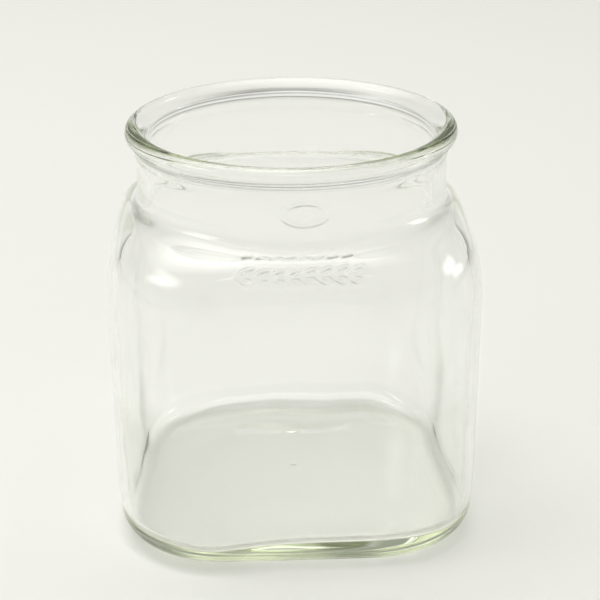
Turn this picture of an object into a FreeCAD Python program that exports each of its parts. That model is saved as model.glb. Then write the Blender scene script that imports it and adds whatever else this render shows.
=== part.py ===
"""Open specimen jar: one piece of clear glass, a square body on a round neck with a rolled bead.

Units are millimetres. The origin is the middle of the resting face, +Z is up through the mouth,
and the four flat panels face +X, -X, +Y and -Y.
"""
import FreeCAD, Part
import math
import os

import Sketcher

# The driving dimensions, in millimetres, and the two ratios that shape the shoulder.
DIMENSIONS = {
    "total_height": 141.6,
    "panel_half": 64.0,          # half the width across two opposite panels, at the shoulder
    "panel_taper": 0.75,         # each panel leans in by this much from the shoulder to the floor
    "panel_radius": 1500.0,      # the panels are very slightly domed
    "corner_reach": 75.0,        # half the width across two opposite upright corners
    "heel_height": 25.0,         # below this height the panels draw in to the foot
    "heel_inset": 1.5,
    "foot_radius": 9.0,          # rounding of the bottom edge
    "shoulder_start": 84.2,      # the panels turn into the shoulder here
    "shoulder_end": 121.0,       # and here the shoulder has become the round neck
    "shoulder_fullness": 1.0,    # how far the shoulder goes on straight up, as a ratio
    "neck_fullness": 0.43,       # how far below its end the shoulder is upright again, as a ratio
    "neck_radius": 53.6,
    "ring_step": 0.35,           # the mould's neck ring leaves this step round the neck
    "ring_height": 130.4,        # and the step lies at this height
    "bead_radius": 57.1,         # the rolled bead round the mouth, at its widest
    "bead_height": 6.0,
    "bead_fillet": 4.0,          # under the bead, where it meets the neck
    "mouth_radius": 49.0,
    "lip_radius": 4.6,           # rounding of the lip into the mouth
    "wall": 3.6,
    "inner_drop": 1.6,           # the inside shoulder lies this much lower, so its wall stays even
    "floor_thickness": 6.5,
    "inner_heel_radius": 5.0,    # rounding between the walls and the floor, inside
    "base_hollow_radius": 44.0,  # the shallow hollow under the base, inside the resting ring
    "base_hollow_depth": 1.2,
}
ROUNDING_STATIONS = 5
HEEL_STATIONS = 3
WALL_STATIONS = 3
SHOULDER_STATIONS = 8
CORNER_SHARE = 1.2  # the corners draw in at the heel by this much more than the panels
SIDES = 4
START, END, CENTRE = 1, 2, 3
ORIGIN_POINT = (-1, 1)
X_AXIS, Y_AXIS = -1, -2


def make_sheet(doc):
    """The spreadsheet that every sketch and feature is bound to."""
    sheet = doc.addObject("Spreadsheet::Sheet", "dims")
    for row, (name, value) in enumerate(DIMENSIONS.items(), start=1):
        sheet.set(f"A{row}", name)
        sheet.set(f"B{row}", str(value))
        sheet.setAlias(f"B{row}", name)
    doc.recompute()


def origin_feature(body, role):
    """One of the body's own origin planes or axes."""
    return next(item for item in body.Origin.OriginFeatures if item.Role == role)


def new_sketch(body, name, role, height=None):
    """A sketch on an origin plane, or on one raised to the height that an expression gives."""
    sketch = body.newObject("Sketcher::SketchObject", name)
    sketch.AttachmentSupport = [(origin_feature(body, role), "")]
    sketch.MapMode = "FlatFace"
    if height:
        sketch.setExpression("AttachmentOffset.Base.z", height)
    return sketch


def value_of(body, expression):
    """The number that an expression over the sheet gives."""
    return body.Document.dims.evalExpression(expression)


def drive(sketch, name, constraint, expression):
    """Adds a dimension to a sketch and binds it to an expression over the sheet."""
    index = sketch.addConstraint(constraint)
    sketch.renameConstraint(index, name)
    sketch.setExpression(f"Constraints.{name}", expression)


def arc(x, y, radius, first, last):
    """A counter-clockwise arc in a sketch's plane, from one angle to another."""
    circle = Part.Circle(FreeCAD.Vector(x, y, 0), FreeCAD.Vector(0, 0, 1), radius)
    return Part.ArcOfCircle(circle, first, last)


def panel_section(body, name, height, half, reach, radius):
    """A level square section: four slightly domed panels, each tangent to two round corners.

    half is the distance from the axis to a panel, reach the distance to a corner, and radius the
    radius of a panel. All are expressions, and the corner's radius follows from them.
    """
    sketch = new_sketch(body, name, "XY_Plane", height)
    panel_distance, corner_distance, panel_radius = (value_of(body, e) for e in (half, reach, radius))
    offset = panel_radius - panel_distance
    slack = panel_radius - corner_distance
    shift = (slack**2 - offset**2) / (math.sqrt(2) * offset - 2 * slack)
    across = shift / math.sqrt(2)
    spread = math.atan2(across, offset + across)
    quarter = math.pi / 2
    for side in range(SIDES):
        turn = side * quarter
        panel_x, panel_y = -offset * math.cos(turn), -offset * math.sin(turn)
        sketch.addGeometry(arc(panel_x, panel_y, panel_radius, turn - spread, turn + spread))
        middle = turn + quarter / 2
        corner_x, corner_y = shift * math.cos(middle), shift * math.sin(middle)
        corner = arc(corner_x, corner_y, corner_distance - shift, turn + spread, turn + quarter - spread)
        sketch.addGeometry(corner)
    constrain_panels(sketch, half, radius)
    constrain_corners(sketch, reach, corner_distance)
    return sketch


def constrain_panels(sketch, half, radius):
    """The panels' arcs: equal, centred on the axes, and as far from the origin as half says."""
    for side in range(1, SIDES):
        sketch.addConstraint(Sketcher.Constraint("Equal", 0, 2 * side))
    for side in range(SIDES):
        axis = X_AXIS if side % 2 == 0 else Y_AXIS
        sketch.addConstraint(Sketcher.Constraint("PointOnObject", 2 * side, CENTRE, axis))
    centres = [sketch.Geometry[2 * side].Center for side in range(SIDES)]
    panel_radius = sketch.Geometry[0].Radius
    drive(sketch, "panel_radius", Sketcher.Constraint("Radius", 0, panel_radius), radius)
    for side, centre in enumerate(centres):
        kind = "DistanceX" if side % 2 == 0 else "DistanceY"
        inward = centre.x + centre.y < 0
        points = (2 * side, CENTRE, *ORIGIN_POINT) if inward else (*ORIGIN_POINT, 2 * side, CENTRE)
        distance = Sketcher.Constraint(kind, *points, abs(centre.x + centre.y))
        drive(sketch, f"panel_offset_{side}", distance, f"{radius} - ({half})")


def constrain_corners(sketch, reach, corner_distance):
    """The corners' arcs: equal, tangent to the panels, and reaching as far out as reach says."""
    arcs = 2 * SIDES
    for index in range(arcs):
        tangent = Sketcher.Constraint("Tangent", index, END, (index + 1) % arcs, START)
        sketch.addConstraint(tangent)
    for side in range(1, SIDES):
        sketch.addConstraint(Sketcher.Constraint("Equal", 1, 2 * side + 1))
    diagonal = corner_distance / math.sqrt(2)
    tip = FreeCAD.Vector(diagonal, diagonal, 0)
    line = sketch.addGeometry(Part.LineSegment(FreeCAD.Vector(0, 0, 0), tip), True)
    sketch.addConstraint(Sketcher.Constraint("Coincident", line, START, *ORIGIN_POINT))
    sketch.addConstraint(Sketcher.Constraint("PointOnObject", line, END, 1))
    sketch.addConstraint(Sketcher.Constraint("Angle", line, math.pi / 4))
    drive(sketch, "corner_reach", Sketcher.Constraint("Distance", line, corner_distance), reach)


def round_section(body, name, height, radius):
    """A level circle in eight equal arcs, which match the panels and corners below it."""
    sketch = new_sketch(body, name, "XY_Plane", height)
    arcs = 2 * SIDES
    span = 2 * math.pi / arcs
    size = value_of(body, radius)
    for index in range(arcs):
        sketch.addGeometry(arc(0, 0, size, (index - 0.5) * span, (index + 0.5) * span))
    for index in range(arcs):
        joint = Sketcher.Constraint("Coincident", index, END, (index + 1) % arcs, START)
        sketch.addConstraint(joint)
    for index in range(arcs - 1):
        sketch.addConstraint(Sketcher.Constraint("Coincident", index, CENTRE, *ORIGIN_POINT))
        sketch.addConstraint(Sketcher.Constraint("Angle", index, span))
    sketch.addConstraint(Sketcher.Constraint("Equal", 0, arcs - 1))
    sketch.addConstraint(Sketcher.Constraint("Vertical", 0, START, 0, END))
    drive(sketch, "radius", Sketcher.Constraint("Radius", 0, size), radius)
    return sketch


def wall_section(body, name, height, inset, radius):
    """A section of the walls below the shoulder, at a height and this far inside the surface."""
    lean = f"dims.panel_taper * (1 - ({height}) / dims.shoulder_start)"
    draw = f"dims.heel_inset * max(0; 1 - ({height}) / dims.heel_height)^2"
    half = f"dims.panel_half - ({inset}) - {lean} - {draw}"
    reach = f"dims.corner_reach - ({inset}) - {lean} - {CORNER_SHARE} * {draw}"
    return panel_section(body, name, height, half, reach, radius)


def shoulder_section(body, name, step, wall, drop, neck):
    """A section of the shoulder, whose panels and corners ease into the round neck together."""
    share = step / SHOULDER_STATIONS
    rest = 1 - share
    lower = f"{3 * rest**2 * share} * dims.shoulder_fullness"
    upper = f"{3 * rest * share**2} * (1 - dims.neck_fullness)"
    span = "(dims.shoulder_end - dims.shoulder_start)"
    height = f"dims.shoulder_start - {drop} + {span} * ({lower} + {upper} + {share**3})"
    ease = 3 * share**2 - 2 * share**3
    if step == SHOULDER_STATIONS:
        return round_section(body, name, height, neck)
    half = f"{1 - ease} * (dims.panel_half - {wall}) + {ease} * {neck}"
    reach = f"{1 - ease} * (dims.corner_reach - {wall}) + {ease} * {neck}"
    bend = ease**1.5
    radius = f"1 / ({1 - bend} / (dims.panel_radius - {wall}) + {bend} / {neck})"
    return panel_section(body, name, height, half, reach, radius)


def loft_body(body, kind, name, bottom, rounding, wall, drop, neck):
    """A loft from a rounded bottom edge up the walls and over the shoulder to the neck."""
    sections = []
    panel_radius = f"dims.panel_radius - {wall}"
    for step in range(ROUNDING_STATIONS):
        turn = math.pi / 2 * step / ROUNDING_STATIONS
        height = f"{bottom} + {rounding} * {1 - math.cos(turn)}"
        inset = f"{wall} + {rounding} * {1 - math.sin(turn)}"
        sections.append(wall_section(body, f"{name}_foot_{step}", height, inset, panel_radius))
    start = f"({bottom} + {rounding})"
    for step in range(HEEL_STATIONS):
        height = f"{start} + (dims.heel_height - {start}) * {step / HEEL_STATIONS}"
        sections.append(wall_section(body, f"{name}_heel_{step}", height, wall, panel_radius))
    for step in range(WALL_STATIONS + 1):
        span = f"(dims.shoulder_start - {drop} - dims.heel_height)"
        height = f"dims.heel_height + {span} * {step / WALL_STATIONS}"
        sections.append(wall_section(body, f"{name}_wall_{step}", height, wall, panel_radius))
    for step in range(1, SHOULDER_STATIONS + 1):
        section = shoulder_section(body, f"{name}_shoulder_{step}", step, wall, drop, neck)
        sections.append(section)
    body.Document.recompute()
    loft = body.newObject(kind, name)
    loft.Profile = sections[0]
    loft.Sections = sections[1:]
    return loft


def level_edges(feature, height, radius=None):
    """The names of a feature's level edges at a height, or only its circles of one radius."""
    names = []
    for number, edge in enumerate(feature.Shape.Edges, start=1):
        box = edge.BoundBox
        level = abs(box.ZMin - height) < 0.01 and abs(box.ZMax - height) < 0.01
        right_size = radius is None or abs(max(box.XMax, -box.XMin) - radius) < 0.01
        if level and right_size:
            names.append(f"Edge{number}")
    return names


def round_edges(body, name, height, size, radius=None):
    """A fillet along the level edges at a height. All sizes are expressions."""
    body.Document.recompute()
    base = body.Tip
    edges = level_edges(base, value_of(body, height), radius and value_of(body, radius))
    fillet = body.newObject("PartDesign::Fillet", name)
    fillet.Base = (base, edges)
    fillet.setExpression("Radius", size)
    return fillet


def finish_sketch(body):
    """Half the outline of the neck above the shoulder, with the mould's step and the bead."""
    sketch = new_sketch(body, "finish_profile", "XZ_Plane")
    low = value_of(body, "dims.shoulder_end")
    ring = value_of(body, "dims.ring_height")
    top = value_of(body, "dims.total_height")
    neck = value_of(body, "dims.neck_radius")
    collar = value_of(body, "dims.neck_radius + dims.ring_step")
    fillet = value_of(body, "dims.bead_fillet")
    bead = value_of(body, "dims.bead_height / 2")
    bead_x = value_of(body, "dims.bead_radius - dims.bead_height / 2")
    bead_y = top - bead
    fillet_x = collar + fillet
    fillet_y = bead_y - math.sqrt((bead + fillet)**2 - (fillet_x - bead_x)**2)
    lean = math.atan2(bead_y - fillet_y, bead_x - fillet_x)

    corners = [(0, low), (neck, low), (neck, ring), (collar, ring), (collar, fillet_y)]
    points = [FreeCAD.Vector(x, y, 0) for x, y in corners]
    for first, second in zip(points, points[1:]):
        sketch.addGeometry(Part.LineSegment(first, second))
    sketch.addGeometry(arc(fillet_x, fillet_y, fillet, lean, math.pi))
    sketch.addGeometry(arc(bead_x, bead_y, bead, lean - math.pi, math.pi / 2))
    rim, middle = FreeCAD.Vector(bead_x, top, 0), FreeCAD.Vector(0, top, 0)
    sketch.addGeometry(Part.LineSegment(rim, middle))
    sketch.addGeometry(Part.LineSegment(middle, points[0]))
    constrain_finish(sketch, bead_x, fillet, bead)
    return sketch


def constrain_finish(sketch, bead_x, fillet_radius, bead_radius):
    """The joints and dimensions of the finish's outline."""
    floor, neck, ledge, collar, fillet, bead, rim, axis = range(8)
    for first, second in ((floor, neck), (neck, ledge), (ledge, collar), (rim, axis), (axis, floor)):
        sketch.addConstraint(Sketcher.Constraint("Coincident", first, END, second, START))
    sketch.addConstraint(Sketcher.Constraint("Tangent", collar, END, fillet, END))
    sketch.addConstraint(Sketcher.Constraint("Tangent", fillet, START, bead, START))
    sketch.addConstraint(Sketcher.Constraint("Tangent", bead, END, rim, START))
    for line in (floor, ledge, rim):
        sketch.addConstraint(Sketcher.Constraint("Horizontal", line))
    for line in (neck, collar, axis):
        sketch.addConstraint(Sketcher.Constraint("Vertical", line))
    sketch.addConstraint(Sketcher.Constraint("PointOnObject", floor, START, Y_AXIS))
    points = {line: sketch.Geometry[line].EndPoint for line in (floor, neck, ledge, rim)}
    for name, kind, geometry, place, value, expression in (
        ("low", "DistanceY", floor, END, points[floor].y, "dims.shoulder_end"),
        ("neck_radius", "DistanceX", floor, END, points[floor].x, "dims.neck_radius"),
        ("ring_height", "DistanceY", neck, END, points[neck].y, "dims.ring_height"),
        ("collar_radius", "DistanceX", ledge, END, points[ledge].x, "dims.neck_radius + dims.ring_step"),
        ("top", "DistanceY", rim, END, points[rim].y, "dims.total_height"),
        ("bead_centre", "DistanceX", bead, CENTRE, bead_x, "dims.bead_radius - dims.bead_height / 2"),
    ):
        drive(sketch, name, Sketcher.Constraint(kind, *ORIGIN_POINT, geometry, place, value), expression)
    fillet_size = Sketcher.Constraint("Radius", fillet, fillet_radius)
    drive(sketch, "fillet_radius", fillet_size, "dims.bead_fillet")
    bead_size = Sketcher.Constraint("Radius", bead, bead_radius)
    drive(sketch, "bead_size", bead_size, "dims.bead_height / 2")


def revolve(body, kind, name, sketch):
    """A full turn of a profile about the jar's axis."""
    feature = body.newObject(kind, name)
    feature.Profile = sketch
    feature.ReferenceAxis = (origin_feature(body, "Z_Axis"), [""])
    feature.Angle = 360
    return feature


def mouth_bore(body):
    """The straight bore of the neck, cut upwards from the top of the inside shoulder."""
    sketch = new_sketch(body, "mouth_circle", "XY_Plane", "dims.shoulder_end - dims.inner_drop")
    radius = value_of(body, "dims.mouth_radius")
    middle = FreeCAD.Vector(0, 0, 0)
    sketch.addGeometry(Part.Circle(middle, FreeCAD.Vector(0, 0, 1), radius))
    sketch.addConstraint(Sketcher.Constraint("Coincident", 0, CENTRE, *ORIGIN_POINT))
    drive(sketch, "radius", Sketcher.Constraint("Radius", 0, radius), "dims.mouth_radius")
    bore = body.newObject("PartDesign::Pocket", "mouth_bore")
    bore.Profile = sketch
    bore.Reversed = True
    bore.Type = "ThroughAll"
    return bore


def base_hollow(body):
    """The shallow dome under the base, which leaves a flat ring for the jar to rest on."""
    sketch = new_sketch(body, "base_profile", "XZ_Plane")
    radius = value_of(body, "dims.base_hollow_radius")
    depth = value_of(body, "dims.base_hollow_depth")
    dome = (radius**2 + depth**2) / (2 * depth)
    origin, rim, crown = (FreeCAD.Vector(x, y, 0) for x, y in ((0, 0), (radius, 0), (0, depth)))
    sketch.addGeometry(Part.LineSegment(origin, rim))
    sketch.addGeometry(arc(0, depth - dome, dome, math.atan2(dome - depth, radius), math.pi / 2))
    sketch.addGeometry(Part.LineSegment(crown, origin))
    for first, second in ((0, 1), (1, 2), (2, 0)):
        sketch.addConstraint(Sketcher.Constraint("Coincident", first, END, second, START))
    sketch.addConstraint(Sketcher.Constraint("Coincident", 0, START, *ORIGIN_POINT))
    sketch.addConstraint(Sketcher.Constraint("Horizontal", 0))
    sketch.addConstraint(Sketcher.Constraint("Vertical", 2))
    sketch.addConstraint(Sketcher.Constraint("PointOnObject", 1, CENTRE, Y_AXIS))
    rim_distance = Sketcher.Constraint("DistanceX", *ORIGIN_POINT, 0, END, radius)
    drive(sketch, "radius", rim_distance, "dims.base_hollow_radius")
    crown_height = Sketcher.Constraint("DistanceY", *ORIGIN_POINT, 2, START, depth)
    drive(sketch, "depth", crown_height, "dims.base_hollow_depth")
    body.Document.recompute()
    return revolve(body, "PartDesign::Groove", "base_hollow", sketch)


def glass_jar(doc):
    """The whole jar: solid outside first, then the neck and bead, the cavity, bore and hollow."""
    body = doc.addObject("PartDesign::Body", "glass_jar")
    body.Label = "glass_jar"
    doc.recompute()
    loft_body(body, "PartDesign::AdditiveLoft", "outside",
              bottom="0", rounding="dims.foot_radius", wall="0", drop="0", neck="dims.neck_radius")
    sketch = finish_sketch(body)
    doc.recompute()
    revolve(body, "PartDesign::Revolution", "finish", sketch)
    add_cut(body, lambda: loft_body(
        body, "PartDesign::SubtractiveLoft", "cavity",
        bottom="dims.floor_thickness", rounding="dims.inner_heel_radius",
        wall="dims.wall", drop="dims.inner_drop", neck="dims.mouth_radius"))
    add_cut(body, lambda: mouth_bore(body))
    round_edges(body, "lip", "dims.total_height", "dims.lip_radius", "dims.mouth_radius")
    add_cut(body, lambda: base_hollow(body))
    return body


def add_cut(body, make_feature):
    """Adds a cutting feature and stops if it took nothing away."""
    body.Document.recompute()
    before = body.Shape.Volume
    feature = make_feature()
    body.Document.recompute()
    if body.Shape.Volume > before - 1:
        raise RuntimeError(f"{feature.Name} cut nothing")


def check_and_write(doc, bodies):
    """Stops at a failed object or shape, and otherwise writes each body's STEP file."""
    doc.recompute()
    for item in doc.Objects:
        if "Invalid" in item.State or "Error" in item.State:
            raise RuntimeError(f"{item.Name} failed: {item.State}")
    for body in bodies:
        if body.Shape.isNull() or not body.Shape.isValid() or len(body.Shape.Solids) != 1:
            raise RuntimeError(f"{body.Label} is not one valid solid")
    os.makedirs("parts", exist_ok=True)
    for body in bodies:
        body.Shape.exportStep(f"parts/{body.Label}.step")
        print(body.Label, "volume", round(body.Shape.Volume), "mm3", body.Shape.BoundBox)


document = FreeCAD.newDocument("specimen_jar")
make_sheet(document)
check_and_write(document, [glass_jar(document)])
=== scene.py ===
"""Looks for the open specimen jar: faint green moulded glass on a pale floor, in metres.

The jar is one closed mesh, made as a grid of level rings. The rings go from the middle of the
base out to the foot, up the walls, shoulder, neck and bead, over the lip, and down the inside to
the middle of the floor. Its sizes are those of the CAD node that it stands for, apart from a
flatter lip, slightly uneven glass and the fine relief.
"""

import math

import bpy
import numpy as np
from mathutils import Matrix, Vector


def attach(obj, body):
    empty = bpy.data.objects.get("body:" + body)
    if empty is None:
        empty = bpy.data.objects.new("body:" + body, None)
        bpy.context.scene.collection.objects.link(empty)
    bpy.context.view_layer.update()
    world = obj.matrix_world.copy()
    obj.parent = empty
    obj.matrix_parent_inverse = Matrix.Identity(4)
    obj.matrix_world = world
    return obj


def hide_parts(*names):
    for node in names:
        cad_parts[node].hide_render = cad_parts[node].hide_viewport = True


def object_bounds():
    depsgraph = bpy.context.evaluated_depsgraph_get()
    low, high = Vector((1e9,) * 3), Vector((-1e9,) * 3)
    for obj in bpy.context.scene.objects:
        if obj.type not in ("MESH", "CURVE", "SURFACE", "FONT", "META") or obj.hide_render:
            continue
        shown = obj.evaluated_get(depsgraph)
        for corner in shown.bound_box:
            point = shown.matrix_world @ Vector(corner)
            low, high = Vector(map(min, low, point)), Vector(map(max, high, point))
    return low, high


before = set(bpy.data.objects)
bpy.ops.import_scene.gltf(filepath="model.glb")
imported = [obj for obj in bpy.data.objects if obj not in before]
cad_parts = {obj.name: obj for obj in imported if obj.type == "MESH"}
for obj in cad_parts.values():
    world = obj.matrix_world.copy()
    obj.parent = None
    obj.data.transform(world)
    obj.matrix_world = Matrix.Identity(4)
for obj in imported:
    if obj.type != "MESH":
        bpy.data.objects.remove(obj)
CAD_LOW, CAD_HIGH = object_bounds()
MM = 0.001

# The outside of the jar.
TOP = CAD_HIGH.z
PANEL_HALF = 64.0 * MM       # from the axis to a panel, at the foot of the shoulder
CORNER_REACH = 75.0 * MM     # from the axis to an upright corner
PANEL_RADIUS = 1500.0 * MM   # the panels are slightly domed
PANEL_TAPER = 0.75 * MM      # how much the panels draw in from the shoulder down to the base
HEEL_HEIGHT = 25.0 * MM
HEEL_INSET = 1.5 * MM        # and how much more below this height
CORNER_SHARE = 1.2           # the corners draw in at the heel by this much more than the panels
FOOT_RADIUS = 9.0 * MM
SHOULDER_START = 84.2 * MM
SHOULDER_END = 121.0 * MM
SHOULDER_FULLNESS = 1.0
NECK_FULLNESS = 0.43
NECK_RADIUS = 53.6 * MM
RING_STEP = 0.35 * MM
RING_SOFTNESS = 4.4 * MM     # the height over which the hot glass has rounded the step
RING_HEIGHT = 130.4 * MM
BEAD_RADIUS = 57.1 * MM
BEAD_ROUND = 3.0 * MM        # half the bead's height
BEAD_FILLET = 4.0 * MM

# The inside, and the hollow under the base.
MOUTH_RADIUS = 49.0 * MM
LIP_RADIUS = 4.6 * MM
LIP_FULLNESS = 0.30          # flatter than a quarter circle, with tight bends at its ends
WALL = 3.6 * MM
CORNER_THICKNESS = 1.25      # the upright corners are thicker than the panels by this ratio
INNER_DROP = 1.6 * MM        # how much lower the shoulder's inside is than its outside
FLOOR_HEIGHT = 6.5 * MM
INNER_HEEL_RADIUS = 5.0 * MM
HOLLOW_RADIUS = 44.0 * MM
HOLLOW_DEPTH = 1.2 * MM

# How finely a ring is sampled, and over what angle its bends are eased.
RING_SAMPLES = 160
CORNER_EASE = math.radians(3)
SAME_RADIUS = 1e-6           # a ring whose half width and reach are this close is a circle

# The grid's columns: even, with closer ones in front where the ornament is.
COLUMNS = 340
FRONT = -math.pi / 2
FINE_HALF = math.radians(23)
FINE_EDGE = math.radians(1.5)
FINE_GAIN = 1.7              # how much closer the columns are in front
ANGLE_SAMPLES = 20001

# The grid's rings: where those of the hollow are, and how many each other part has.
HOLLOW_RADII = (2.0 * MM, 11.0 * MM, 21.0 * MM, 26.0 * MM, 38.0 * MM)
MARK_STEP = 0.6 * MM         # between the rings that cross a mark under the base
MARK_RINGS = 4               # to each side of the mark's middle
RESTING_RINGS = 4
FOOT_RINGS = 13
WALL_RINGS = 22
SHOULDER_LOW, SHOULDER_HIGH = 0.30, 0.78   # the ornament lies between these shares of the shoulder
SHOULDER_RINGS = (12, 46, 8)               # below the ornament, across it, and above it
NECK_RINGS = 14
SEAM_SHARE = 0.80            # the share of the neck's step at which the closer rings start
STEP_RINGS = (7, 5)          # below and above that share
FILLET_RINGS = 8
BEAD_RINGS = 20
LIP_RINGS = 15
BORE_RINGS = 8
INNER_SHOULDER_RINGS = 28
INNER_HEEL_RINGS = 14
FLOOR_RINGS = 13

# How uneven the glass is.
WAVE_COUNT = 6
GOLDEN_TURN = 2.4            # radians from each wave's direction to the next one's
LONG_WAVE = 42.0 * MM
SHORT_WAVE = 13.0 * MM
SHORT_SHARE = 0.10           # how high the short waves are beside the long ones
INNER_WAVE = 0.14 * MM
OUTER_WAVE = 0.08 * MM
WEDGE = 0.5 * MM             # how much thicker the walls are in front than on the axis
CALM_START, CALM_END = 112.0 * MM, 130.0 * MM   # the waves fade out over these heights
FOOT_CALM = 6.0 * MM         # and fade in from the base to this height
HEEL_LOW, HEEL_HIGH = 16.0 * MM, 30.0 * MM      # the inner heel's changes fade out over these
HEEL_NEAR, HEEL_FAR = 42.0 * MM, 60.0 * MM      # and grow between these distances from the middle
BACK_RISE = 1.8 * MM         # how much fuller the inner heel is at the back
BACK_TILT = 0.5              # and how much more so on the right
FRONT_RISE = 2.0 * MM        # and at the front
THIN_X, THIN_Y = -37.0 * MM, -60.0 * MM         # the inside is lowest here, at the front heel
THIN_WIDE, THIN_DEEP = 23.0 * MM, 13.0 * MM
THIN_DEPTH = 3.6 * MM

# The raised ornament on the front of the shoulder. A stroke's width is given as half of it.
STROKE_POINTS = 12
STEM_POINTS = 48
STEM_HEIGHT = 107.6 * MM     # above the base
STEM_HALF = 20.0 * MM
STEM_SWING = 0.4 * MM
STEM_WAVE = 36.0 * MM
STEM_WIDTH = 0.65 * MM
LEAF_PAIRS = 8
LEAF_RUN = 5.2 * MM
LEAF_SPREAD = 2.5 * MM
LEAF_BOW = 0.6 * MM
LEAF_WIDTH = 0.90 * MM
FINE_HEIGHTS = (112.2 * MM, 114.6 * MM)   # of the dashes and the line over them
LINE_START, LINE_END = -15.0 * MM, 11.0 * MM
LINE_BOW = 0.7 * MM
LINE_WIDTH = 0.65 * MM
DASH_COUNT = 8
DASH_START = -18.0 * MM
DASH_PITCH = 4.6 * MM
DASH_RUN = 3.2 * MM
DASH_RISE = 0.5 * MM
DASH_WIDTH = 0.55 * MM
RELIEF = 0.9 * MM
ORNAMENT_MARGIN = 8.0 * MM   # past the stem's ends, where the grid is still searched for strokes
FRONT_ONLY = 1000.0          # weight that keeps the search for the middle column in front

# The plain oval boss on the front of the neck, and the marks under the base.
BOSS_X, BOSS_Z = 2.3 * MM, 126.0 * MM
BOSS_HALF_WIDTH, BOSS_HALF_HEIGHT = 6.9 * MM, 3.7 * MM
BOSS_RIM = 1.5 * MM
BOSS_RELIEF = 0.70 * MM
BOSS_PAD = 0.35              # how high the boss is inside its rim, as a share of the rim
BOSS_PAD_EDGE = 0.4          # the share of the oval at which the pad starts to fall
BASE_BAR = (34.9 * MM, 4.5 * MM, 1.4 * MM)        # its place in Y, half width and half depth
BACK_DOT = (7.8 * MM, 2.3 * MM, 2.3 * MM)
FRONT_DOT = (-14.2 * MM, 2.3 * MM, 2.3 * MM)
BASE_MARKS = (BASE_BAR, BACK_DOT, FRONT_DOT)
MARK_RELIEF = 0.12 * MM

# The seam under the bead, which shows only at the sides.
SEAM_HEIGHT = 132.15 * MM
SEAM_WIDTH = 0.22 * MM
SEAM_RELIEF = 0.15 * MM
SEAM_START, SEAM_END = 0.75 * NECK_RADIUS, 0.85 * NECK_RADIUS   # it grows between these, in X

# The materials. The glass takes light away along its path by its colour and density.
GLASS_IOR = 1.52
GLASS_COLOUR = (0.51, 0.57, 0.31, 1.0)
GLASS_DENSITY = 6.5
PAPER_COLOUR = (0.82, 0.817, 0.78, 1.0)
PAPER_ROUGHNESS = 0.9
PAPER_SHINE = 0.1
LIGHT_BOUNCES = 160          # enough for a path through all the walls of the jar

# The floor.
FLOOR_HALF = 12.0
FLOOR_GAP = 0.02 * MM        # below the jar's foot, so that the two faces don't coincide

# The lights and the room, in metres and watts.
AIM_HEIGHT = 0.1             # the height on the jar that the upright softboxes face
EDGE_GAIN = 2.25             # a softbox that fades to its edges keeps its whole power
ROOM_COLOUR = (0.97, 0.98, 0.93, 1.0)
ROOM_LOW = 0.88              # the room's brightness beyond the jar, level with the floor
ROOM_HIGH = 0.48             # and above it
ROOM_NEAR = 0.50             # the share of that brightness on the camera's side
HORIZON_TOP = 0.07           # up to this height, as a sine, the room is as bright as the floor
WALL_BOTTOM = 0.20           # and from this height up, as bright as it is above

# The camera, in the jar's frame turned by TURN about the jar's axis.
TURN = math.radians(2.281)
CAMERA_PLACE = (2.70 * MM, -546.05 * MM, 304.52 * MM)
CAMERA_PITCH = math.radians(22.878)
CAMERA_ROLL = math.radians(-0.3295)
SENSOR = 36.0
LENS = 99.09
NEAR_CLIP = 0.01


# ---------------------------------------------------------------- the shape of a ring

def square_ring(angle, half, reach, panel):
    """Polar radius of a level section: domed panels, each tangent to two round corners."""
    if reach - half < SAME_RADIUS:
        return np.full_like(angle, half)
    fold = np.abs((angle + math.pi / 4) % (math.pi / 2) - math.pi / 4)
    offset = panel - half
    slack = panel - reach
    shift = (slack**2 - offset**2) / (math.sqrt(2) * offset - 2 * slack)
    across = shift / math.sqrt(2)
    spread = math.atan2(across, offset + across)
    tangent = math.atan2(panel * math.sin(spread), panel * math.cos(spread) - offset)
    flat = np.sqrt(panel**2 - (offset * np.sin(fold)) ** 2) - offset * np.cos(fold)
    turn = math.pi / 4 - fold
    chord = np.maximum((reach - shift) ** 2 - (shift * np.sin(turn)) ** 2, 0.0)
    corner = shift * np.cos(turn) + np.sqrt(chord)
    return np.where(fold < tangent, flat, corner)


def soft_ring(angle, half, reach, panel):
    """The same ring with its bends eased: its Fourier series, with the fine terms faded out."""
    quarter = np.linspace(0, math.pi / 2, RING_SAMPLES, endpoint=False)
    terms = np.fft.rfft(square_ring(quarter, half, reach, panel)) / RING_SAMPLES
    order = 4 * np.arange(len(terms))
    terms *= np.where(order == 0, 1, 2) * np.exp(-(order * CORNER_EASE) ** 2 / 2)
    return (np.exp(1j * np.outer(angle, order)) @ terms).real


def circle(height, radius):
    """A ring that is a circle: height, half width, reach and panel radius."""
    return (height, radius, radius, radius)


def wall_ring(height, inset):
    """A ring of the walls below the shoulder, this far inside the outside surface."""
    lean = PANEL_TAPER * (1 - height / SHOULDER_START)
    draw = HEEL_INSET * max(0.0, 1 - height / HEEL_HEIGHT) ** 2
    half = PANEL_HALF - inset - lean - draw
    reach = CORNER_REACH - inset * CORNER_THICKNESS - lean - CORNER_SHARE * draw
    return (height, half, reach, PANEL_RADIUS - inset)


def shoulder_ring(share, wall, drop, neck):
    """A ring of the shoulder, from the walls at 0 to the neck at 1."""
    rest = 1 - share
    climb = 3 * rest**2 * share * SHOULDER_FULLNESS
    climb += 3 * rest * share**2 * (1 - NECK_FULLNESS) + share**3
    height = SHOULDER_START - drop + (SHOULDER_END - SHOULDER_START) * climb
    ease = 3 * share**2 - 2 * share**3
    half = (1 - ease) * (PANEL_HALF - wall) + ease * neck
    reach = (1 - ease) * (CORNER_REACH - wall * CORNER_THICKNESS) + ease * neck
    bend = ease**1.5
    panel = 1 / ((1 - bend) / (PANEL_RADIUS - wall) + bend / neck)
    return (height, half, reach, panel)


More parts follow.
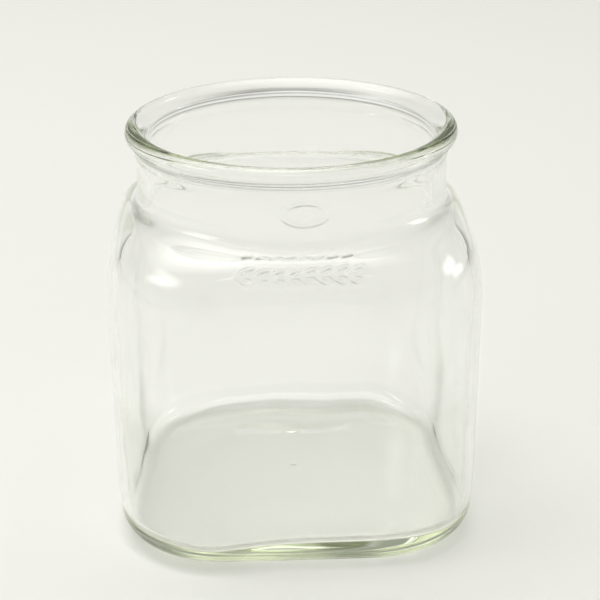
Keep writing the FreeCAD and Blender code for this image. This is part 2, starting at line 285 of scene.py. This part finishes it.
def foot_ring(share, wall, bottom, radius):
    """A ring of the rounding between a floor and the walls, from the floor at 0 to the wall at 1."""
    turn = share * math.pi / 2
    height, half, reach, panel = wall_ring(bottom + radius * (1 - math.cos(turn)), wall)
    inset = radius * (1 - math.sin(turn))
    return (height, half - inset, reach - inset, panel)


def steps(count, first=0.0, last=1.0):
    """Evenly spaced shares, without the last one."""
    return np.linspace(first, last, count, endpoint=False)


# ---------------------------------------------------------------- the rings, part by part

def hollow_rings():
    """The shallow hollow under the base, with closer rings where its marks are."""
    radii = set(HOLLOW_RADII)
    for along, _, _ in BASE_MARKS:
        radii.update(abs(along) + step * MARK_STEP for step in range(-MARK_RINGS, MARK_RINGS + 1))
    return [circle(HOLLOW_DEPTH * (1 - (r / HOLLOW_RADIUS) ** 2), r) for r in sorted(radii)]


def resting_rings():
    """The flat ring that the jar stands on, from the round hollow to the square foot."""
    outer = foot_ring(0.0, 0.0, 0.0, FOOT_RADIUS)
    rings = []
    for share in steps(RESTING_RINGS):
        half = HOLLOW_RADIUS + (outer[1] - HOLLOW_RADIUS) * share
        reach = HOLLOW_RADIUS + (outer[2] - HOLLOW_RADIUS) * share
        panel = 1 / ((1 - share) / HOLLOW_RADIUS + share / outer[3])
        rings.append((0.0, half, reach, panel))
    return rings


def outer_wall_rings():
    """The foot's rounding and the walls, up to the shoulder."""
    rings = [foot_ring(share, 0.0, 0.0, FOOT_RADIUS) for share in steps(FOOT_RINGS)]
    span = SHOULDER_START - FOOT_RADIUS
    rings += [wall_ring(FOOT_RADIUS + span * share, 0.0) for share in steps(WALL_RINGS)]
    return rings


def shoulder_rings():
    """The outside of the shoulder, with closer rings where the ornament is."""
    below, across, above = SHOULDER_RINGS
    shares = np.concatenate([steps(below, 0.0, SHOULDER_LOW),
                             steps(across, SHOULDER_LOW, SHOULDER_HIGH),
                             steps(above, SHOULDER_HIGH, 1.0)])
    return [shoulder_ring(share, 0.0, 0.0, NECK_RADIUS) for share in shares]


def neck_rings():
    """The neck and the softened step up to the collar, with a fine seam under the bead's fillet."""
    low, high = RING_HEIGHT - RING_SOFTNESS / 2, RING_HEIGHT + RING_SOFTNESS / 2
    climb = low - SHOULDER_END
    rings = [circle(SHOULDER_END + climb * share, NECK_RADIUS) for share in steps(NECK_RINGS)]
    below, above = STEP_RINGS
    for share in np.concatenate([steps(below, 0.0, SEAM_SHARE), steps(above, SEAM_SHARE, 1.0)]):
        rise = RING_STEP * share**2 * (3 - 2 * share)
        rings.append(circle(low + (high - low) * share, NECK_RADIUS + rise))
    return rings


def bead_rings():
    """The fillet under the bead, the bead, the flat of the lip and its rounding."""
    collar = NECK_RADIUS + RING_STEP
    bead_x = BEAD_RADIUS - BEAD_ROUND
    bead_z = TOP - BEAD_ROUND
    fillet_x = collar + BEAD_FILLET
    fillet_z = bead_z - math.sqrt((BEAD_ROUND + BEAD_FILLET) ** 2 - (fillet_x - bead_x) ** 2)
    lean = math.atan2(bead_z - fillet_z, bead_x - fillet_x)
    rings = []
    for turn in steps(FILLET_RINGS, math.pi, lean):
        height = fillet_z + BEAD_FILLET * math.sin(turn)
        rings.append(circle(height, fillet_x + BEAD_FILLET * math.cos(turn)))
    for turn in steps(BEAD_RINGS, lean - math.pi, math.pi / 2):
        height = bead_z + BEAD_ROUND * math.sin(turn)
        rings.append(circle(height, bead_x + BEAD_ROUND * math.cos(turn)))
    return rings + lip_rings(bead_x)


def lip_rings(crown):
    """The lip, from the bead's crown down to the bore."""
    start = min(crown, MOUTH_RADIUS + LIP_RADIUS)
    pull = LIP_RADIUS * LIP_FULLNESS
    ends = np.array([(start, TOP), (start - pull, TOP), (MOUTH_RADIUS, TOP - LIP_RADIUS + pull),
                     (MOUTH_RADIUS, TOP - LIP_RADIUS)])
    rings = [circle(TOP, crown)] if crown > start else []
    for share in steps(LIP_RINGS):
        rest = 1 - share
        radius, height = np.array([rest**3, 3 * rest**2 * share, 3 * rest * share**2, share**3]) @ ends
        rings.append(circle(height, radius))
    return rings


def inner_rings():
    """The bore, the inside of the shoulder and walls, the inner heel and the floor."""
    low = SHOULDER_END - INNER_DROP
    high = TOP - LIP_RADIUS
    rings = [circle(high + (low - high) * share, MOUTH_RADIUS) for share in steps(BORE_RINGS)]
    for share in steps(INNER_SHOULDER_RINGS):
        rings.append(shoulder_ring(1 - share, WALL, INNER_DROP, MOUTH_RADIUS))
    heel = FLOOR_HEIGHT + INNER_HEEL_RADIUS
    start = SHOULDER_START - INNER_DROP
    rings += [wall_ring(start + (heel - start) * share, WALL) for share in steps(WALL_RINGS)]
    for share in steps(INNER_HEEL_RINGS):
        rings.append(foot_ring(1 - share, WALL, FLOOR_HEIGHT, INNER_HEEL_RADIUS))
    height, half, reach, panel = foot_ring(0.0, WALL, FLOOR_HEIGHT, INNER_HEEL_RADIUS)
    for share in steps(FLOOR_RINGS):
        rest = 1 - share
        rings.append((height, half * rest, (half + (reach - half) * rest**2) * rest, panel * rest))
    return rings


# ---------------------------------------------------------------- the grid

def column_angles():
    """The columns' angles round the jar, closer together in front."""
    fine = np.linspace(-math.pi, math.pi, ANGLE_SAMPLES) + FRONT
    away = np.abs(fine - FRONT)
    near = 1 / (1 + np.exp((away - FINE_HALF) / FINE_EDGE))
    density = 1 + FINE_GAIN * near
    total = np.concatenate([[0.0], np.cumsum((density[1:] + density[:-1]) / 2)])
    wanted = np.arange(COLUMNS) / COLUMNS * total[-1]
    return np.interp(wanted, total, fine)


def smooth_step(value, low, high):
    """0 below low, 1 above high, and smooth in between."""
    share = np.clip((value - low) / (high - low), 0, 1)
    return share * share * (3 - 2 * share)


def waves(points, length, seed):
    """A smooth uneven field from -1 to 1 over space, made of crossing waves about this long."""
    total = 0
    for index in range(WAVE_COUNT):
        turn = GOLDEN_TURN * index + seed
        direction = np.array([math.cos(turn), math.sin(turn), 0.7 * math.cos(1.7 * turn)])
        stretch = 1 + 0.3 * math.sin(2.3 * turn)
        total = total + np.sin(points @ direction * (2 * math.pi * stretch / length) + 3 * turn)
    return total / WAVE_COUNT


def grid_normals(points):
    """The direction out of the glass at every point of the grid."""
    along = np.roll(points, -1, axis=1) - np.roll(points, 1, axis=1)
    onward = np.gradient(points, axis=0)
    normal = np.cross(along, onward)
    return normal / np.linalg.norm(normal, axis=2, keepdims=True)


def sag_inner_heel(points):
    """Lowers the inside of one front corner, where the floor of the glass is thinner."""
    x, y, z = points[..., 0], points[..., 1], points[..., 2]
    away = np.hypot((x - THIN_X) / THIN_WIDE, (y - THIN_Y) / THIN_DEEP)
    near_floor = 1 - smooth_step(z, HEEL_LOW, HEEL_HIGH)
    z -= THIN_DEPTH * np.exp(-away**2) * near_floor


def fill_inner_heel(points):
    """Raises the inner heel in front, and at the back, most of all on the right."""
    x, y, z = points[..., 0], points[..., 1], points[..., 2]
    back = smooth_step(y, HEEL_NEAR, HEEL_FAR) * (1 + BACK_TILT * x / PANEL_HALF)
    front = smooth_step(-y, HEEL_NEAR, HEEL_FAR)
    z += (BACK_RISE * back + FRONT_RISE * front) * (1 - smooth_step(z, HEEL_LOW, HEEL_HIGH))


def uneven_glass(points, inner_start):
    """Moves the surfaces a little, as hand-finished moulded glass does, most of all inside."""
    inside = points[inner_start:]
    sag_inner_heel(inside)
    fill_inner_heel(inside)
    normal = grid_normals(points)
    away_from_lip = 1 - smooth_step(points[..., 2], CALM_START, CALM_END)
    above_rest = smooth_step(points[..., 2], 0.0, FOOT_CALM)
    amount = np.where(np.arange(len(points)) >= inner_start, INNER_WAVE, OUTER_WAVE)[:, None]
    level = waves(points, LONG_WAVE, 1.0) + SHORT_SHARE * waves(points, SHORT_WAVE, 4.0)
    moved = amount * level * above_rest
    moved[inner_start:] -= WEDGE * inside[..., 1] / PANEL_HALF
    points += normal * (moved * away_from_lip)[..., None]


def stroke(start, end, bow=0.0):
    """Points along a gently bowed stroke between two places on the shoulder's surface."""
    share = np.linspace(0, 1, STROKE_POINTS)[:, None]
    line = np.array(start) * (1 - share) + np.array(end) * share
    line[:, 1] += bow * np.sin(math.pi * share[:, 0])
    return line


def sprig_strokes(middle):
    """A sprig as (points, half width): a gently waving stem with pairs of leaves."""
    across = np.linspace(-STEM_HALF, STEM_HALF, STEM_POINTS)
    stem = middle + STEM_SWING * np.sin(2 * math.pi * across / STEM_WAVE)
    strokes = [(np.stack([across, stem], axis=1), STEM_WIDTH)]
    for index in range(LEAF_PAIRS):
        x = -STEM_HALF + index * 2 * STEM_HALF / LEAF_PAIRS
        root = (x, middle + STEM_SWING * math.sin(2 * math.pi * x / STEM_WAVE))
        for side in (-1, 1):
            tip = (x + LEAF_RUN, root[1] + side * LEAF_SPREAD)
            strokes.append((stroke(root, tip, side * LEAF_BOW), LEAF_WIDTH))
    return strokes


def ornament_strokes(level):
    """The ornament's strokes as (points, half width): a sprig under a row of dashes and a line."""
    low, high = (level(height) for height in FINE_HEIGHTS)
    strokes = sprig_strokes(level(STEM_HEIGHT))
    strokes.append((stroke((LINE_START, high), (LINE_END, high), LINE_BOW), LINE_WIDTH))
    for index in range(DASH_COUNT):
        x = DASH_START + index * DASH_PITCH
        strokes.append((stroke((x, low), (x + DASH_RUN, low + DASH_RISE)), DASH_WIDTH))
    return strokes


def raise_ornament(points, first, last):
    """How far each point of the grid is raised by the ornament, between two rows of the grid."""
    raised = np.zeros(points.shape[:2])
    middle = np.argmin(np.abs(points[first, :, 0]) + FRONT_ONLY * (points[first, :, 1] > 0))
    column = points[first:last, middle]
    lengths = np.linalg.norm(np.diff(column, axis=0), axis=1)
    climbed = np.concatenate([[0.0], np.cumsum(lengths)])

    def level(height):
        return float(np.interp(height, column[:, 2], climbed))

    near = np.abs(points[first, :, 0]) < STEM_HALF + ORNAMENT_MARGIN
    chosen = np.flatnonzero(near & (points[first, :, 1] < 0))
    place = np.stack(np.broadcast_arrays(points[first:last, chosen, 0], climbed[:, None]), axis=-1)
    for line, half in ornament_strokes(level):
        away = np.linalg.norm(place[:, :, None] - line, axis=-1).min(axis=2)
        bump = RELIEF * np.clip(1 - (away / half) ** 2, 0, 1)
        block = raised[first:last, chosen]
        raised[first:last, chosen] = np.maximum(block, bump)
    return raised


def raise_boss(points):
    """How far each point is raised by the oval boss on the front of the neck."""
    x, y, z = points[..., 0], points[..., 1], points[..., 2]
    out = np.hypot((x - BOSS_X) / BOSS_HALF_WIDTH, (z - BOSS_Z) / BOSS_HALF_HEIGHT)
    away = (out - 1) * math.sqrt(BOSS_HALF_WIDTH * BOSS_HALF_HEIGHT) / BOSS_RIM
    rim = np.clip(1 - away**2, 0, 1) ** 2
    pad = BOSS_PAD * (1 - smooth_step(out, BOSS_PAD_EDGE, 1.0))
    return np.where(y < 0, BOSS_RELIEF * (rim + pad), 0.0)


def raise_seam(points):
    """How far each point is raised by the mould's seam, at the sides just under the bead."""
    x, z = points[..., 0], points[..., 2]
    away = (z - SEAM_HEIGHT) / SEAM_WIDTH
    return SEAM_RELIEF * np.exp(-away**2) * smooth_step(np.abs(x), SEAM_START, SEAM_END)


def raise_marks(points):
    """How far each point is raised by the plain dots and the bar under the base."""
    x, y = points[..., 0], points[..., 1]
    raised = np.zeros(x.shape)
    for along, wide, deep in BASE_MARKS:
        away = np.hypot(x / wide, (y - along) / deep)
        raised = np.maximum(raised, MARK_RELIEF * np.clip(1 - away**2, 0, 1) ** 2)
    return raised


def raise_relief(points, parts):
    """Moves the points out by the relief of the ornament, the boss, the seam and the marks."""
    rows = np.cumsum([0] + [len(part) for part in parts])
    hollow_end, shoulder_start, shoulder_end, neck_end = rows[1], rows[3], rows[4], rows[5]
    raised = raise_ornament(points, shoulder_start, shoulder_end)
    raised[shoulder_start:neck_end] += raise_boss(points[shoulder_start:neck_end])
    raised[shoulder_end:neck_end] += raise_seam(points[shoulder_end:neck_end])
    raised[:hollow_end] = raise_marks(points[:hollow_end])
    points += grid_normals(points) * raised[..., None]


def jar_grid():
    """The points of the jar, as an array of rings by columns by three."""
    angle = column_angles()
    parts = [hollow_rings(), resting_rings(), outer_wall_rings()]
    parts += [shoulder_rings(), neck_rings(), bead_rings()]
    outside = sum(len(part) for part in parts)
    rings = sum(parts, []) + inner_rings()
    points = np.zeros((len(rings), COLUMNS, 3))
    for row, (height, half, reach, panel) in enumerate(rings):
        radius = soft_ring(angle, half, reach, panel)
        points[row] = np.stack([radius * np.cos(angle), radius * np.sin(angle),
                                np.full(COLUMNS, height)], axis=1)
    uneven_glass(points, outside)
    raise_relief(points, parts)
    return points


def grid_mesh(name, points, first_pole, last_pole):
    """A closed mesh from a grid of points and the two points that close its ends."""
    rows, columns = points.shape[:2]
    vertices = np.concatenate([points.reshape(-1, 3), [first_pole, last_pole]])
    here = np.arange(columns)
    after = (here + 1) % columns
    faces = []
    for row in range(rows - 1):
        low, high = row * columns, (row + 1) * columns
        faces += np.stack([low + here, low + after, high + after, high + here], axis=1).tolist()
    first, last = rows * columns, rows * columns + 1
    end = (rows - 1) * columns
    faces += [(first, int(b), int(a)) for a, b in zip(here, after)]
    faces += [(last, int(end + a), int(end + b)) for a, b in zip(here, after)]
    mesh = bpy.data.meshes.new(name)
    mesh.from_pydata(vertices.tolist(), [], faces)
    mesh.shade_smooth()
    mesh.update()
    return mesh


# ---------------------------------------------------------------- materials

def node(tree, kind, **values):
    """A shader node with its plain input values set by name."""
    made = tree.nodes.new(kind)
    for name, value in values.items():
        made.inputs[name.replace("_", " ")].default_value = value
    return made


def calculate(tree, operation, *values):
    """A maths node over sockets and numbers, and its result."""
    made = tree.nodes.new("ShaderNodeMath")
    made.operation = operation
    for index, value in enumerate(values):
        if isinstance(value, (int, float)):
            made.inputs[index].default_value = value
        else:
            tree.links.new(value, made.inputs[index])
    return made.outputs[0]


def glass_material():
    """Clear soda-lime glass with a faint yellow-green body colour."""
    material = bpy.data.materials.new("jar_glass")
    material.use_nodes = True
    tree = material.node_tree
    shader = tree.nodes["Principled BSDF"]
    output = tree.nodes["Material Output"]
    shader.inputs["Base Color"].default_value = (1.0, 1.0, 1.0, 1.0)
    shader.inputs["Roughness"].default_value = 0.0
    shader.inputs["IOR"].default_value = GLASS_IOR
    shader.inputs["Transmission Weight"].default_value = 1.0
    absorb = node(tree, "ShaderNodeVolumeAbsorption", Color=GLASS_COLOUR, Density=GLASS_DENSITY)
    tree.links.new(absorb.outputs["Volume"], output.inputs["Volume"])
    return material


def floor_material():
    """Pale cream matt paper."""
    material = bpy.data.materials.new("floor_paper")
    material.use_nodes = True
    shader = material.node_tree.nodes["Principled BSDF"]
    shader.inputs["Base Color"].default_value = PAPER_COLOUR
    shader.inputs["Roughness"].default_value = PAPER_ROUGHNESS
    shader.inputs["Specular IOR Level"].default_value = PAPER_SHINE
    return material


# ---------------------------------------------------------------- the scene

def add_jar():
    """The visible jar, which stands for the CAD node."""
    points = jar_grid()
    mesh = grid_mesh("glass_jar_visual", points, (0, 0, HOLLOW_DEPTH), (0, 0, FLOOR_HEIGHT))
    jar = bpy.data.objects.new("glass_jar_visual", mesh)
    bpy.context.scene.collection.objects.link(jar)
    mesh.materials.append(glass_material())
    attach(jar, "root")
    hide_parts("glass_jar")


def add_floor():
    """A wide pale floor that fills the view."""
    mesh = bpy.data.meshes.new("floor")
    side = FLOOR_HALF
    corners = [(-side, -side, 0), (side, -side, 0), (side, side, 0), (-side, side, 0)]
    mesh.from_pydata(corners, [], [(0, 1, 2, 3)])
    mesh.materials.append(floor_material())
    floor = bpy.data.objects.new("floor", mesh)
    floor.location.z = -FLOOR_GAP
    bpy.context.scene.collection.objects.link(floor)


def soften_edges(light):
    """Fades a softbox towards its edges, so that its reflections have no hard outline."""
    light.use_nodes = True
    tree = light.node_tree
    emission = tree.nodes["Emission"]
    place = node(tree, "ShaderNodeNewGeometry")
    parts = node(tree, "ShaderNodeSeparateXYZ")
    tree.links.new(place.outputs["Parametric"], parts.inputs[0])
    fade = None
    for axis in ("X", "Y"):
        centred = calculate(tree, "SUBTRACT", parts.outputs[axis], 0.5)
        square = calculate(tree, "MULTIPLY", centred, centred)
        share = calculate(tree, "MULTIPLY_ADD", square, -4.0, 1.0)
        fade = share if fade is None else calculate(tree, "MULTIPLY", fade, share)
    strength = calculate(tree, "MULTIPLY", fade, EDGE_GAIN)
    tree.links.new(strength, emission.inputs["Strength"])


def add_light(name, place, target, size, power):
    """A rectangular softbox that faces a point."""
    light = bpy.data.lights.new(name, "AREA")
    light.shape = "RECTANGLE"
    light.size, light.size_y = size
    light.energy = power
    soften_edges(light)
    holder = bpy.data.objects.new(name, light)
    holder.location = place
    holder.rotation_euler = (Vector(target) - Vector(place)).to_track_quat("-Z", "Y").to_euler()
    bpy.context.scene.collection.objects.link(holder)


def around(azimuth, elevation, distance):
    """A place this far from the jar: azimuth in degrees from +Y towards +X, and elevation."""
    turn, rise = math.radians(azimuth), math.radians(elevation)
    level = distance * math.cos(rise)
    height = AIM_HEIGHT + distance * math.sin(rise)
    return (level * math.sin(turn), level * math.cos(turn), height)


def add_lights():
    """A large overhead softbox, one at each side and a narrow one above the camera."""
    jar = (0.0, 0.0, AIM_HEIGHT)
    add_light("overhead", (-0.4, 0.35, 2.2), (0.0, 0.1, 0.0), (2.8, 3.2), 40.5)
    add_light("left_window", around(-108, 27, 1.6), jar, (1.0, 0.45), 3.0)
    add_light("right_window", around(80, 13, 1.6), jar, (0.6, 0.35), 1.8)
    add_light("front_strip", around(180, 42, 2.0), jar, (1.4, 0.15), 0.8)


def add_room():
    """A pale room, brightest near the horizon beyond the jar and dimmer on the camera's side."""
    world = bpy.data.worlds.new("room")
    world.use_nodes = True
    tree = world.node_tree
    background = tree.nodes["Background"]
    background.inputs["Color"].default_value = ROOM_COLOUR
    place = node(tree, "ShaderNodeTexCoord")
    parts = node(tree, "ShaderNodeSeparateXYZ")
    tree.links.new(place.outputs["Generated"], parts.inputs[0])
    behind = calculate(tree, "MULTIPLY_ADD", parts.outputs["Y"], -0.5, 0.5)
    dimmed = calculate(tree, "POWER", behind, 2.0)
    side = calculate(tree, "MULTIPLY_ADD", dimmed, ROOM_NEAR - 1.0, 1.0)
    height = node(tree, "ShaderNodeMapRange", From_Min=HORIZON_TOP, From_Max=WALL_BOTTOM,
                  To_Min=ROOM_LOW, To_Max=ROOM_HIGH)
    height.interpolation_type = "SMOOTHSTEP"
    tree.links.new(parts.outputs["Z"], height.inputs["Value"])
    strength = calculate(tree, "MULTIPLY", height.outputs["Result"], side)
    tree.links.new(strength, background.inputs["Strength"])
    bpy.context.scene.world = world


def add_camera():
    """The camera, in front of the jar and looking down at it."""
    camera = bpy.data.cameras.new("camera")
    camera.sensor_width = SENSOR
    camera.lens = LENS
    camera.clip_start = NEAR_CLIP
    holder = bpy.data.objects.new("camera", camera)
    placed = Matrix.Rotation(-TURN, 4, "Z") @ Matrix.Translation(CAMERA_PLACE)
    tilted = Matrix.Rotation(math.pi / 2 - CAMERA_PITCH, 4, "X") @ Matrix.Rotation(CAMERA_ROLL, 4, "Z")
    holder.matrix_world = placed @ tilted
    bpy.context.scene.collection.objects.link(holder)
    bpy.context.scene.camera = holder


def set_light_paths():
    """Lets light pass through all the walls of the jar, with no blurring of what it carries."""
    cycles = bpy.context.scene.cycles
    cycles.max_bounces = LIGHT_BOUNCES
    cycles.transmission_bounces = LIGHT_BOUNCES
    cycles.glossy_bounces = LIGHT_BOUNCES
    cycles.blur_glossy = 0.0


add_jar()
add_floor()
add_lights()
add_room()
add_camera()
set_light_paths()
bpy.context.scene.view_settings.view_transform = "Standard"
